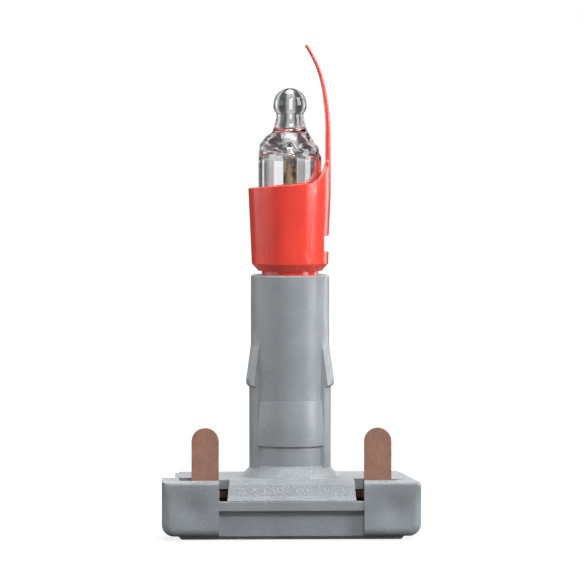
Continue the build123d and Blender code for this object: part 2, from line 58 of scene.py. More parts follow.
# Distances within which two places count as one: when compared, when merged and when cut.
NEAR = 0.001 * MM
MERGE_GAP = 0.0001 * MM
CUT_GAP = 0.00001 * MM

# Angles between faces: up to the first they are flat, past the second wide ones make a crease, and past
# the third any two make a corner. A facet is wide from here on.
FLAT_ANGLE = math.radians(0.5)
CREASE_ANGLE = math.radians(3.0)
CORNER_ANGLE = math.radians(28.0)
WIDE_FACET = 0.5 * MM

# Roundings: the share of a face that one may take, the share of its full width below which it is left
# out, the narrowest face that it may touch, in radii, and the least angle that is reckoned with.
ROUNDING_ROOM = 0.45
LEAST_ROUNDING = 0.6
NARROW_FACE = 0.6
LEAST_ANGLE = 0.01

# Fronts of the two blocks: spacing of the corners along an outline, cells each way in the middle, the zone
# below the top in which the top's radius grows to the sides', the share of its length that an outline
# leaves as room at sharp and at gentle turns, and the slope from which an edge leans with the tray's end.
OUTLINE_RUN = 0.3 * MM
BLOCK_CELLS = 12
BLOCK_TOP_ZONE = (0.6 * MM, 2.2 * MM)
SHARP_TURN = math.radians(40.0)
SHARP_ROOM = 0.4
GENTLE_ROOM = 0.85
LEAST_LEAN = 0.02

# Low wall that the flare leaves on the lip: its height range and half its width.
LIP_WALL_FOOT = 5.2 * MM
LIP_WALL_TOP = 5.76 * MM
LIP_WALL_HALF = 1.6 * MM

# Strength of the painted top light and painted glints, and of the grain's bump, by how far a face looks
# upwards.
TUBE_SPARKLE = ((0.0, 0.0), (0.1, 0.0), (0.13, 1.0), (0.2, 1.0), (0.26, 0.55), (0.6, 0.3), (0.8, 1.0))
TRAY_SPARKLE = ((0.2, 0.0), (0.9, 1.0))

# The bulb, in millimetres. Under its tip: the middle of the slump and of the folds, and how far they reach,
# the slump upwards and downwards. Over its foot: the stretch in which the pinch, a share as thick as it is
# wide, becomes round.
SLUMP_DROP = 5.3
SLUMP_REACH = (0.78, 1.3)
FOLD_DROP = 4.9
FOLD_REACH = 0.95
PINCH_ENDS = (0.7, 1.6)
PINCH_SHARE = 0.42
OUTLINE_STEPS = 6

# Stage: what the lamps point at, the camera's film width, and the floor's size, its gap under the unit and
# its own brightness, which grows from the first value at the inner reach to the second at the outer one.
LIT_POINT = Vector((0.0, 0.0, 0.022))
SENSOR_WIDTH = 36.0
FLOOR_SIZE = 8.0
FLOOR_GAP = 0.02 * MM
FLOOR_REACH = (0.014, 0.06)
FLOOR_GLOW = (0.82, 1.0)
WHITE = (1.0, 1.0, 1.0, 1.0)


class PlasticSettings(bpy.types.PropertyGroup):
    """Finish of the moulded plastic pieces."""

    housing_color: bpy.props.FloatVectorProperty(
        name="Housing colour",
        description="Grey of the tube housing, the tray and the foot plate",
        subtype="COLOR",
        default=(0.262, 0.285, 0.302),
    )
    holder_color: bpy.props.FloatVectorProperty(
        name="Holder colour",
        description="Red of the lamp holder",
        subtype="COLOR",
        default=(0.84, 0.062, 0.041),
    )
    sparkle_size: bpy.props.FloatProperty(
        name="Sparkle size",
        description="Size of one grain of the spark-eroded mould texture",
        default=0.00011,
        unit="LENGTH",
    )
    # Painted highlight: the colour of bright glints painted into the grey, most on faces that look upwards.
    painted_glint_color: bpy.props.FloatVectorProperty(
        name="Painted glint colour",
        description="Colour of the glints painted on the moulded texture",
        subtype="COLOR",
        default=(0.72, 0.74, 0.76),
    )
    # Painted light: faces that look upwards are painted this much lighter, standing in for light from above.
    painted_top_light: bpy.props.FloatProperty(
        name="Painted top light",
        description="How much lighter the faces that look upwards are painted, as light from above",
        default=1.32,
    )
    edge_radius: bpy.props.FloatProperty(
        name="Edge radius",
        description="Rounding that moulding leaves on the sharp edges",
        default=0.00009,
        unit="LENGTH",
    )
    block_radius: bpy.props.FloatProperty(
        name="Block radius",
        description="Soft rounding on the side and lower edges of the tray's two front blocks",
        default=0.00078,
        unit="LENGTH",
    )
    block_top_radius: bpy.props.FloatProperty(
        name="Block top radius",
        description="Soft rounding on the upper edges of the two front blocks",
        default=0.00045,
        unit="LENGTH",
    )
    block_steps: bpy.props.IntProperty(
        name="Block steps",
        description="Number of facets across the soft rounding",
        default=8,
        min=2,
    )
    right_taper: bpy.props.FloatProperty(
        name="Right taper",
        description="How far the tray's right end leans inwards for each unit towards the back",
        default=0.1196,
    )
    tray_shade: bpy.props.FloatProperty(
        name="Tray shade",
        description="Share of the grey colour that the tray and the foot plate have",
        default=0.9,
        min=0.5,
        max=1.5,
    )
    sink_depth: bpy.props.FloatProperty(
        name="Sink depth",
        description="Depth of the sink mark in the middle of each front block",
        default=0.00034,
        unit="LENGTH",
    )
    sink_width: bpy.props.FloatProperty(
        name="Sink width",
        description="Reach of the sink mark",
        default=0.0013,
        unit="LENGTH",
    )


class MetalSettings(bpy.types.PropertyGroup):
    """Finish of the contacts, the leads and the electrodes."""

    copper_color: bpy.props.FloatVectorProperty(
        name="Copper colour",
        description="Colour of the brushed contact strip",
        subtype="COLOR",
        default=(0.375, 0.203, 0.152),
    )
    electrode_color: bpy.props.FloatVectorProperty(
        name="Electrode colour",
        description="Colour of the coated electrode rods",
        subtype="COLOR",
        default=(0.34, 0.255, 0.165),
    )
    plating_color: bpy.props.FloatVectorProperty(
        name="Plating colour",
        description="Colour of the tinned leads and caps",
        subtype="COLOR",
        default=(0.62, 0.62, 0.6),
    )
    # Painted shade: inwards of this distance the copper is painted dark.
    blade_inner: bpy.props.FloatProperty(
        name="Blade inner edge",
        description="Distance from the middle to where the bright blades end and the painted shade on the arms begins",
        default=0.00684,
        unit="LENGTH",
    )
    strip_edge: bpy.props.FloatProperty(
        name="Strip edge",
        description="Rounding on the edges of the stamped strip",
        default=0.00004,
        unit="LENGTH",
    )


class GlassSettings(bpy.types.PropertyGroup):
    """Shape and look of the blown glass bulb."""

    wall: bpy.props.FloatProperty(
        name="Wall",
        description="Thickness of the glass in the straight part",
        default=0.00048,
        unit="LENGTH",
    )
    shoulder_slump: bpy.props.FloatProperty(
        name="Shoulder slump",
        description="How far one side of the drawn shoulder slumps below the other",
        default=0.00078,
        unit="LENGTH",
    )
    ripple: bpy.props.FloatProperty(
        name="Ripple",
        description="Height of the folds that drawing leaves round the shoulder",
        default=0.000035,
        unit="LENGTH",
    )
    tint: bpy.props.FloatVectorProperty(
        name="Tint",
        description="Colour of the clear glass",
        subtype="COLOR",
        default=(0.97, 0.985, 0.995),
    )
    turns: bpy.props.IntProperty(
        name="Turns",
        description="Number of facets round the bulb",
        default=128,
        min=24,
    )


class ResistorSettings(bpy.types.PropertyGroup):
    """Colour bands of the series resistor."""

    band_count: bpy.props.IntProperty(
        name="Bands",
        description="Number of colour bands round the rod",
        default=4,
        min=1,
    )
    band_width: bpy.props.FloatProperty(
        name="Band width",
        description="Width of one band along the rod",
        default=0.0004,
        unit="LENGTH",
    )
    band_pitch: bpy.props.FloatProperty(
        name="Band pitch",
        description="Distance from one band to the next",
        default=0.00085,
        unit="LENGTH",
    )


class StageSettings(bpy.types.PropertyGroup):
    """Camera and lights."""

    azimuth: bpy.props.FloatProperty(
        name="Azimuth",
        description="How far the camera stands to the left of the front",
        subtype="ANGLE",
        default=math.radians(2.0),
    )
    distance: bpy.props.FloatProperty(
        name="Distance",
        description="Level distance from the camera to the tube's axis",
        default=0.36,
        unit="LENGTH",
    )
    eye_height: bpy.props.FloatProperty(
        name="Eye height",
        description="Height of the camera above the floor",
        default=0.039,
        unit="LENGTH",
    )
    aim_height: bpy.props.FloatProperty(
        name="Aim height",
        description="Height on the tube's axis that the picture is centred on",
        default=0.02324,
        unit="LENGTH",
    )
    pixels_per_mm: bpy.props.FloatProperty(
        name="Pixels per millimetre",
        description="Scale of the picture at the tube's axis",
        default=10.5,
    )
    axis_column: bpy.props.FloatProperty(
        name="Axis column",
        description="Pixel column of the tube's axis in the picture",
        default=290.0,
    )
    right_power: bpy.props.FloatProperty(
        name="Right box",
        description="Power of the bright box on the right",
        default=1.35,
        unit="POWER",
    )
    left_power: bpy.props.FloatProperty(
        name="Left box",
        description="Power of the broad dim box on the left",
        default=0.63,
        unit="POWER",
    )
    top_power: bpy.props.FloatProperty(
        name="Top box",
        description="Power of the box overhead",
        default=0.95,
        unit="POWER",
    )
    front_power: bpy.props.FloatProperty(
        name="Front box",
        description="Power of the box above the camera",
        default=0.7,
        unit="POWER",
    )
    rear_power: bpy.props.FloatProperty(
        name="Rear box",
        description="Power of the narrow box behind on the right",
        default=0.25,
        unit="POWER",
    )
    room_light: bpy.props.FloatProperty(
        name="Room light",
        description="Strength of the plain light all round",
        default=0.1,
    )
    panel_count: bpy.props.IntProperty(
        name="Panels",
        description="Number of white panels round the room that show in the glass",
        default=8,
        min=1,
    )


def add_node(tree, kind, inputs=None, **properties):
    """Adds a node, sets its properties and feeds its inputs with constants or other nodes' outputs."""
    node = tree.nodes.new(kind)
    for name, value in properties.items():
        setattr(node, name, value)
    for name, value in (inputs or {}).items():
        if isinstance(value, bpy.types.NodeSocket):
            tree.links.new(value, node.inputs[name])
        else:
            node.inputs[name].default_value = value
    return node


class ShaderTree:
    """An emptied shader tree that is filled with short calls, and the coordinates its textures read."""

    def __init__(self, tree, coordinates="Object"):
        self.tree = tree
        tree.nodes.clear()
        self.place = self.add("ShaderNodeTexCoord").outputs[coordinates]

    def add(self, kind, inputs=None, **properties):
        """One node of the tree."""
        return add_node(self.tree, kind, inputs, **properties)

    def calculate(self, operation, *values):
        """One math node."""
        return self.add("ShaderNodeMath", dict(enumerate(values)), operation=operation).outputs["Value"]

    def spread(self, value, low, high, to_low=0.0, to_high=1.0, kind="LINEAR"):
        """Maps low..high to another range, and holds its ends beyond them."""
        inputs = {"Value": value, "From Min": low, "From Max": high, "To Min": to_low, "To Max": to_high}
        return self.add("ShaderNodeMapRange", inputs, interpolation_type=kind).outputs["Result"]

    def part(self, vector, axis):
        """One part of a vector."""
        return self.add("ShaderNodeSeparateXYZ", {"Vector": vector}).outputs[axis]

    def mix(self, factor, first, second, blend="MIX"):
        """Two colours mixed by a factor."""
        inputs = {"Factor": factor, "A": first, "B": second}
        return self.add("ShaderNodeMix", inputs, data_type="RGBA", blend_type=blend).outputs["Result"]

    def noise(self, scale, detail=2.0, roughness=0.5, rise=1.0):
        """Noise on the object's coordinates, drawn out upwards where rise is below 1."""
        place = self.place
        if rise != 1.0:
            inputs = {"Vector": place, "Scale": (1.0, 1.0, rise)}
            place = self.add("ShaderNodeMapping", inputs).outputs["Vector"]
        inputs = {"Vector": place, "Scale": scale, "Detail": detail, "Roughness": roughness}
        return self.add("ShaderNodeTexNoise", inputs).outputs["Fac"]

    def scattered_specks(self, spacing, share):
        """Factor that is 1 in a few tiny specks scattered at random."""
        cells = self.add("ShaderNodeTexVoronoi", {"Scale": 1.0 / spacing, "Vector": self.place})
        near = self.spread(cells.outputs["Distance"], 0.2, 0.08)
        pick = self.add("ShaderNodeSeparateColor", {"Color": cells.outputs["Color"]}).outputs["Red"]
        return self.calculate("MULTIPLY", near, self.spread(pick, 1.0 - share, 1.0 - 0.6 * share))

    def bump(self, height, strength, distance, below=None):
        """A bump on a height, on top of another bump where one is given."""
        inputs = {"Height": height, "Strength": strength, "Distance": distance}
        if below is not None:
            inputs["Normal"] = below
        return self.add("ShaderNodeBump", inputs).outputs["Normal"]

    def by_slope(self, facing, stops):
        """Strength of a texture and of painted light, given at stops, by how far a face looks upwards."""
        normal = self.add("ShaderNodeNewGeometry").outputs[facing]
        curve = self.add("ShaderNodeValToRGB", {"Fac": self.part(normal, "Z")})
        points = curve.color_ramp.elements
        while len(points) < len(stops):
            points.new(0.5)
        for point, (position, value) in zip(points, stops):
            point.position = position
            point.color = (value, value, value, 1.0)
        return curve.outputs["Color"]


def new_material(name):
    """A material and its empty node tree."""
    material = bpy.data.materials.new(name)
    material.use_nodes = True
    return material, ShaderTree(material.node_tree)


def with_shader(material, tree, inputs):
    """Ends a material's tree with one principled shader."""
    shader = tree.add("ShaderNodeBsdfPrincipled", inputs)
    tree.add("ShaderNodeOutputMaterial", {"Surface": shader.outputs["BSDF"]})
    return material


def shaded(color, gain=1.0):
    """An opaque colour made lighter or darker."""
    return (*(min(channel * gain, 1.0) for channel in color), 1.0)


def sparkle_plastic(settings, name, stops, shade=1.0, facing="Normal"):
    """Grey plastic with a spark-eroded grain and painted glints and top light, whose strength goes by how
    far a face looks upwards.
    """
    material, tree = new_material(name)
    cloud = tree.spread(tree.noise(260.0, detail=3.0), 0.3, 0.7)
    grey = settings.housing_color
    color = tree.mix(cloud, shaded(grey, 0.88 * shade), shaded(grey, 1.1 * shade))
    color = tree.mix(tree.scattered_specks(2.5 * settings.sparkle_size, share=0.2), color, (0.5, 0.52, 0.53, 1.0))
    upward = tree.by_slope(facing, stops)
    # Painted top light: the colour is made lighter where a face looks upwards.
    painted_top_color = (settings.painted_top_light, settings.painted_top_light, settings.painted_top_light, 1.0)
    color = tree.mix(upward, color, painted_top_color, blend="MULTIPLY")
    # Painted glints: bright grains of colour, stronger where a face looks upwards.
    painted_glints = tree.spread(tree.noise(0.9 / settings.sparkle_size, detail=1.0), 0.56, 0.72)
    painted_glints = tree.calculate("MULTIPLY", painted_glints, tree.calculate("MULTIPLY_ADD", upward, 0.7, 0.09))
    color = tree.mix(painted_glints, color, shaded(settings.painted_glint_color))
    grain = tree.noise(0.8 / settings.sparkle_size, roughness=0.6)
    grained = tree.bump(grain, tree.calculate("MULTIPLY_ADD", upward, 0.7, 0.17), 0.1 * MM)
    uneven = tree.bump(tree.noise(330.0, detail=1.0), 0.15, 0.6 * MM, below=grained)
    look = {
        "Base Color": color,
        "Normal": uneven,
        "Roughness": 0.3,
        "IOR": 1.5,
        "Subsurface Weight": 0.1,
        "Subsurface Radius": (1.0, 1.0, 1.0),
        "Subsurface Scale": 0.4 * MM,
    }
    return with_shader(material, tree, look)


def red_plastic(settings):
    """Glossy red plastic with a faint flow pattern and a fine grain."""
    material, tree = new_material("red_gloss_plastic")
    flow = tree.spread(tree.noise(520.0, detail=3.0, rise=0.3), 0.3, 0.7)
    red = settings.holder_color
    color = tree.mix(flow, shaded(red, 0.86), shaded(red, 1.08))
    # Pale specks scattered at random over the red.
    color = tree.mix(tree.scattered_specks(3 * settings.sparkle_size, share=0.06), color, (0.85, 0.25, 0.2, 1.0))
    grained = tree.bump(tree.noise(0.8 / settings.sparkle_size), 0.07, 0.1 * MM)
    wavy = tree.bump(tree.noise(420.0, detail=1.0), 0.06, 0.4 * MM, below=grained)
    look = {
        "Base Color": color,
        "Normal": wavy,
        "Roughness": 0.2,
        "IOR": 1.52,
        "Subsurface Weight": 0.15,
        "Subsurface Radius": (1.0, 0.25, 0.15),
        "Subsurface Scale": 0.4 * MM,
    }
    return with_shader(material, tree, look)


def clear_glass(settings):
    """Clear soda glass, slightly uneven from drawing."""
    material, tree = new_material("clear_glass")
    drawn = tree.bump(tree.noise(350.0, detail=1.0, rise=0.3), 0.12, 0.1 * MM)
    look = {
        "Base Color": shaded(settings.tint),
        "Transmission Weight": 1.0,
        "Roughness": 0.0,
        "IOR": 1.5,
        "Normal": drawn,
    }
    return with_shader(material, tree, look)


def brushed_copper(settings):
    """Copper strip with fine grain along the blades, and painted dark as shade where the arms run inwards.
    """
    material, tree = new_material("brushed_copper")
    grain = tree.noise(9000.0, detail=3.0, roughness=0.6, rise=0.12)
    blotch = tree.noise(900.0)
    tone = tree.calculate("ADD", tree.spread(grain, 0.25, 0.75), tree.spread(blotch, 0.3, 0.7))
    copper = settings.copper_color
    bright = tree.mix(tree.spread(tone, 0.2, 1.8), shaded(copper, 0.8), shaded(copper, 1.2))
    # Painted shade: the arms that run inwards inside the tray get a far darker copper.
    across = tree.calculate("ABSOLUTE", tree.part(tree.place, "X"))
    inside = tree.spread(across, settings.blade_inner, settings.blade_inner - 0.1 * MM)
    look = {
        "Base Color": tree.mix(inside, bright, shaded(copper, 0.12)),
        "Normal": tree.bump(grain, 0.25, 0.02 * MM),
        "Metallic": 0.75,
        "Roughness": 0.5,
    }
    return with_shader(material, tree, look)


def coated_electrode(settings):
    """Nickel rod with a patchy dark coating."""
    material, tree = new_material("coated_electrode")
    patch = tree.noise(1300.0, detail=4.0, roughness=0.65, rise=0.5)
    nickel = settings.electrode_color
    look = {
        "Base Color": tree.mix(tree.spread(patch, 0.44, 0.6), shaded(nickel, 0.16), shaded(nickel, 1.35)),
        "Normal": tree.bump(patch, 0.5, 0.05 * MM),
        "Metallic": 0.7,
        "Roughness": 0.4,
    }
    return with_shader(material, tree, look)


def tinned_metal(settings):
    """Dull tin plating."""
    material, tree = new_material("tinned_metal")
    tin = settings.plating_color
    color = tree.mix(tree.noise(3000.0, detail=3.0), shaded(tin, 0.85), shaded(tin, 1.1))
    return with_shader(material, tree, {"Base Color": color, "Metallic": 1.0, "Roughness": 0.35})


def lacquered_ceramic(name, color):
    """Lacquer over ceramic, in one colour with a slight mottle."""
    material, tree = new_material(name)
    mottled = tree.mix(tree.noise(2500.0), shaded(color, 0.9), shaded(color, 1.1))
    return with_shader(material, tree, {"Base Color": mottled, "Roughness": 0.3})


def finish_with(thing, material):
    """Gives an object one material."""
    thing.data.materials.clear()
    thing.data.materials.append(material)


def piece_from(mesh, name, node, material):
    """Makes a mesh the piece that stands for a node, riding where the node rides."""
    piece = bpy.data.objects.new(name, mesh)
    bpy.context.scene.collection.objects.link(piece)
    finish_with(piece, material)
    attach(piece, "root")
    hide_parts(node)
    return piece


def eased(value, low, high):
    """Smooth step from 0 at low to 1 at high."""
    share = min(max((value - low) / (high - low), 0.0), 1.0)
    return share * share * (3 - 2 * share)


def cut_between(near, far, share):
    """Cuts the edge between two corners at a share of its length from the near one."""
    edge = next(edge for edge in near.link_edges if edge.other_vert(near) == far)
    return bmesh.utils.edge_split(edge, near, share)[1]


def block_contour(face, inner, low):
    """Corners of a block's front, from its inner top corner round the outside to its inner foot."""

    def is_inner(corner):
        return abs(abs(corner.co.x) - inner) < NEAR

    ring = [loop.vert for loop in face.loops]
    start = next(n for n, corner in enumerate(ring) if is_inner(corner) and corner.co.z > low + NEAR)
    ring = ring[start:] + ring[:start]
    if is_inner(ring[1]):
        ring = ring[:1] + ring[:0:-1]
    contour = []
    for first, last in zip(ring, ring[1:]):
        contour.append(first)
        runs = max(1, math.ceil((last.co - first.co).length / OUTLINE_RUN))
        for left in range(runs, 1, -1):
            contour.append(cut_between(contour[-1], last, 1.0 / left))
    return contour + ring[-1:]


def plan_rounding(contour, high, side, settings):
    """How far the rounding reaches in from each corner of a block's contour, and which way."""
    top_radius = settings.block_top_radius
    reach = []
    inward = []
    for n, corner in enumerate(contour):
        along = (contour[min(n + 1, len(contour) - 1)].co - contour[max(n - 1, 0)].co).normalized()
        inward.append(Vector((along.z, 0.0, -along.x)) * side)
        fall = eased(high - corner.co.z, *BLOCK_TOP_ZONE)
        reach.append(top_radius + (settings.block_radius - top_radius) * fall)
    for n in range(1, len(contour) - 1):
        turn = max(inward[n - 1].angle(inward[n + 1]), 1e-6)
        span = (contour[n + 1].co - contour[n - 1].co).length
        share = SHARP_ROOM if turn > SHARP_TURN else GENTLE_ROOM
        room = share * span / turn
        for m, corner in enumerate(contour):
            reach[m] = min(reach[m], room + 0.5 * (corner.co - contour[n].co).length)
    inward[0] = Vector((0.0, 0.0, -1.0))
    inward[-1] = Vector((0.0, 0.0, 1.0))
    return reach, inward


def ring_in(work, contour, reach, inward, steps):
    """Fills a front with rings of quads, and returns its middle face and each corner's setback."""
    setback = dict(zip(contour, reach))
    outside = contour
    for step in range(1, steps + 1):
        angle = math.pi / 2 * step / steps
        inside = []
        for n, (corner, size, way) in enumerate(zip(contour, reach, inward)):
            place = corner.co + way * size * (1 - math.cos(angle))
            if 0 < n < len(contour) - 1:
                made = work.verts.new(place)
            else:
                far = inside[0] if n else outside[-1]
                fall = abs(place.z - outside[n].co.z)
                made = cut_between(outside[n], far, fall / (far.co - outside[n].co).length)
            setback[made] = size * (1 - math.sin(angle))
            inside.append(made)
        for n in range(len(contour) - 1):
            work.faces.new((outside[n], outside[n + 1], inside[n + 1], inside[n]))
        outside = inside
    return work.faces.new(outside), setback


def cut_in_grid(work, face, start, end):
    """Cuts an upright face into a grid between two of its box's corners."""
    parts = [face]
    for axis in (0, 2):
        across = Vector((0.0, 0.0, 0.0))
        across[axis] = 1.0
        for n in range(1, BLOCK_CELLS):
            edges = {edge for part in parts for edge in part.edges}
            corners = {corner for part in parts for corner in part.verts}
            cut = bmesh.ops.bisect_plane(
                work,
                geom=[*parts, *edges, *corners],
                plane_co=start + (end - start) * n / BLOCK_CELLS,
                plane_no=across,
                dist=CUT_GAP,
            )
            parts = [part for part in cut["geom"] if isinstance(part, bmesh.types.BMFace)]


def soften_block_front(work, face, settings):
    """Gives a block's flat front a wide soft rounding along its outer edges and a sink mark."""
    front = face.verts[0].co.y
    heights = [corner.co.z for corner in face.verts]
    widths = [abs(corner.co.x) for corner in face.verts]
    low, high = min(heights), max(heights)
    inner, outer = min(widths), max(widths)
    side = math.copysign(1.0, face.verts[0].co.x)
    slant = settings.right_taper if side > 0 else 0.0
    contour = block_contour(face, inner, low)
    reach, inward = plan_rounding(contour, high, side, settings)
    leaning = {corner for corner, way in zip(contour, inward) if abs(way.x) > LEAST_LEAN}
    work.faces.remove(face)
    middle, setback = ring_in(work, contour, reach, inward, settings.block_steps)
    start = Vector((inner * side, front, low))
    end = Vector((outer * side, front, high))
    cut_in_grid(work, middle, start, end)
    heart = (start + end) / 2
    patch = {
        corner
        for corner in work.verts
        if abs(corner.co.y - front) < MERGE_GAP and corner.co.x * side > inner - NEAR
    }
    for corner in patch:
        away = (corner.co - heart) / settings.sink_width
        sink = settings.sink_depth * math.exp(-away.length_squared)
        back = setback.get(corner, 0.0) + sink
        corner.co.y += back
        if corner in leaning:
            corner.co.x -= slant * back
    return patch


def soften_blocks(work, settings):
    """Softens the fronts of the tray's two blocks, and returns the corners on them."""
    front = min(corner.co.y for corner in work.verts)
    blocks = [face for face in work.faces if all(abs(corner.co.y - front) < NEAR for corner in face.verts)]
    softened = set()
    for face in blocks:
        softened |= soften_block_front(work, face, settings)
        work.normal_update()
    bmesh.ops.recalc_face_normals(work, faces=work.faces)
    return softened


def end_flare_at_lip(work):
    """Ends the flare's foot at the platform's front edge, and keeps no corner from being rounded."""
    crescent = [
        face
        for face in work.faces
        if face.normal.y < -0.9
        and abs(face.normal.z) < 0.05
        and all(LIP_WALL_FOOT < corner.co.z < LIP_WALL_TOP for corner in face.verts)
        and all(abs(corner.co.x) < LIP_WALL_HALF for corner in face.verts)
    ]
    bmesh.ops.delete(work, geom=crescent, context="FACES")
    rim = {corner for edge in work.edges if edge.is_boundary for corner in edge.verts}
    top = max(corner.co.z for corner in rim)
    foot = sorted((corner for corner in rim if corner.co.z > top - NEAR), key=lambda corner: corner.co.x)
    bmesh.ops.dissolve_verts(work, verts=[corner for corner in rim if corner not in foot])
    pairs = {}
    last = foot[0]
    for corner in foot[1:-1]:
        share = (corner.co.x - last.co.x) / (foot[-1].co.x - last.co.x)
        last = cut_between(last, foot[-1], share)
        corner.co = last.co
        pairs[last] = corner
    bmesh.ops.weld_verts(work, targetmap=pairs)
    return set()


def is_corner(edge):
    """Whether an edge is a corner of the shape, and not one between the facets of a curve."""
    if len(edge.link_faces) != 2 or edge.calc_face_angle() > CORNER_ANGLE:
        return True
    first, second = edge.link_faces
    wide = min(first.calc_area(), second.calc_area()) > WIDE_FACET * edge.calc_length()
    bent = abs(first.normal.z - second.normal.z) > CREASE_ANGLE
    return wide and bent and edge.calc_face_angle() > CREASE_ANGLE


def gap_between(first, second):
    """Shortest distance between two edges, measured from their ends."""
    gap = math.inf
    for one, other in ((first, second), (second, first)):
        start, end = (corner.co for corner in other.verts)
        for corner in one.verts:
            share = intersect_point_line(corner.co, start, end)[1]
            gap = min(gap, (corner.co - start.lerp(end, min(max(share, 0.0), 1.0))).length)
    return gap


def room_beside(edge, soft):
    """How wide a rounding an edge has room for on the faces beside it."""
    room = math.inf
    for face in edge.link_faces:
        for other in face.edges:
            if not set(other.verts) & set(edge.verts):
                room = min(room, gap_between(edge, other))
    for loop in edge.link_loops:
        for corner, side in (
            (loop.vert, loop.link_loop_prev.edge),
            (loop.link_loop_next.vert, loop.link_loop_next.edge),
        ):
            reach = side.other_vert(corner).co - corner.co
            angle = reach.angle(edge.other_vert(corner).co - corner.co)
            if side in soft:
                spread = math.tan(max(math.pi - angle, LEAST_ANGLE) / 2)
            else:
                spread = 1.0 / max(math.sin(angle), LEAST_ANGLE)
            room = min(room, reach.length / spread)
    return ROUNDING_ROOM * room


def weigh_edges(work, radius, kept):
    """Marks the corners, and weighs those outer ones that have room and don't touch a kept vertex."""
    weight = work.edges.layers.float.new("bevel_weight_edge")
    for edge in work.edges:
        edge.smooth = not is_corner(edge)
    soft = {
        edge
        for edge in work.edges
        if edge.is_convex
        and not kept.intersection(edge.verts)
        and edge.calc_face_angle() > CORNER_ANGLE
        and min(face.calc_area() / face.calc_perimeter() for face in edge.link_faces) > NARROW_FACE * radius
    }
    for edge in soft:
        share = min(room_beside(edge, soft) / radius, 1.0)
        edge[weight] = share if share > LEAST_ROUNDING else 0.0


def made_real(rough, name):
    """The plain mesh that an object's modifiers give. The object itself goes."""
    made = bpy.data.meshes.new_from_object(rough.evaluated_get(bpy.context.evaluated_depsgraph_get()))
    bpy.data.objects.remove(rough)
    made.name = name
    return made


def rounded_copy(node, name, material, radius, segments=3, reshape=None):
    """A merged copy of a node with its sharp edges rounded, in the node's place."""
    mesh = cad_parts[node].data.copy()
    work = bmesh.new()
    work.from_mesh(mesh)
    bmesh.ops.remove_doubles(work, verts=work.verts, dist=MERGE_GAP)
    bmesh.ops.dissolve_limit(work, angle_limit=FLAT_ANGLE, verts=work.verts, edges=work.edges)
    kept = reshape(work) if reshape else set()
    work.normal_update()
    weigh_edges(work, radius, kept)
    for face in work.faces:
        face.smooth = True
    work.to_mesh(mesh)
    work.free()
    rough = bpy.data.objects.new(name + "_rough", mesh)
    bpy.context.scene.collection.objects.link(rough)
    bevel = rough.modifiers.new("edge", "BEVEL")
    bevel.width = radius
    bevel.segments = segments
    bevel.limit_method = "WEIGHT"
    bevel.use_clamp_overlap = False
    bevel.harden_normals = True
    bevel.miter_outer = "MITER_ARC"
    rough.modifiers.new("normals", "WEIGHTED_NORMAL").keep_sharp = True
    return piece_from(made_real(rough, name), name, node, material)


class GLOWLAMP_OT_housing(bpy.types.Operator):
    """Finish the grey mouldings: tube housing, base tray and foot plate"""

    bl_idname = "glowlamp.housing"
    bl_label = "Grey mouldings"

    def execute(self, context):
        settings = context.scene.glowlamp_plastic
        tube = sparkle_plastic(settings, "grey_sparkle_plastic", TUBE_SPARKLE, facing="True Normal")
        tray = sparkle_plastic(settings, "grey_tray_plastic", TRAY_SPARKLE, settings.tray_shade)
        for node, material, reshape in (
            ("tube_housing", tube, end_flare_at_lip),
            ("base_tray", tray, lambda work: soften_blocks(work, settings)),
            ("foot_plate", tray, None),
        ):
            piece = rounded_copy(node, node + "_moulding", material, settings.edge_radius, reshape=reshape)
        return {"FINISHED"}


class GLOWLAMP_OT_holder(bpy.types.Operator):
    """Finish the red lamp holder with its pull tongue"""

    bl_idname = "glowlamp.holder"
    bl_label = "Lamp holder"

    def execute(self, context):
        settings = context.scene.glowlamp_plastic
        radius = 0.6 * settings.edge_radius
        piece = rounded_copy("lamp_holder", "lamp_holder_moulding", red_plastic(settings), radius)
        return {"FINISHED"}


def glass_outline(settings):
    """Outer and inner half outlines of the bulb as (radius, height) in millimetres."""
    low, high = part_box("glass_bulb")
    bottom = low[2] / MM
    top = high[2] / MM
    outer_radius = (high[0] - low[0]) / 2 / MM
    wall = settings.wall / MM
    outer = [
        (1.62, bottom),
        (1.7, bottom + 0.1),
        (1.7, bottom + 0.75),
        (1.95, bottom + 1.0),
        (2.45, bottom + 1.2),
        (2.85, bottom + 1.7),
        (outer_radius, bottom + 2.5),
        (outer_radius, bottom + 6.0),
        (outer_radius, top - 6.6),
        (2.97, top - 5.95),
        (2.8, top - 5.24),
        (2.47, top - 4.76),
        (2.0, top - 4.42),
        (1.74, top - 4.2),
        (1.6, top - 3.9),
        (1.4, top - 3.2),
        (1.29, top - 2.6),
        (1.33, top - 2.35),
        (1.5, top - 2.1),
        (1.6, top - 1.6),
        (1.5, top - 1.0),
        (1.2, top - 0.52),
        (0.7, top - 0.16),
        (0.35, top - 0.04),
        (0.12, top - 0.005),
    ]
    inner = [
        (0.6, bottom + 1.8),
        (1.7, bottom + 1.9),
        (outer_radius - 1.6 * wall, bottom + 2.4),
        (outer_radius - wall, bottom + 3.4),
        (outer_radius - wall, top - 10.0),
        (outer_radius - wall, top - 7.2),
        (outer_radius - 1.25 * wall, top - 6.5),
        (2.05, top - 6.0),
        (1.3, top - 5.75),
        (0.5, top - 5.65),
    ]
    return outer, inner, bottom, top


def smooth_outline(points, steps):
    """Points along a smooth curve that runs through an outline's points."""
    ends = [points[0]] + list(points) + [points[-1]]
    smooth = []
    for first, second, third, fourth in zip(ends, ends[1:], ends[2:], ends[3:]):
        for step in range(steps):
            share = step / steps
            smooth.append(
                tuple(
                    0.5
                    * (
                        2 * b
                        + (c - a) * share
                        + (2 * a - 5 * b + 4 * c - d) * share**2
                        + (3 * b - a - 3 * c + d) * share**3
                    )
                    for a, b, c, d in zip(first, second, third, fourth)
                )
            )
    smooth.append(points[-1])
    return smooth


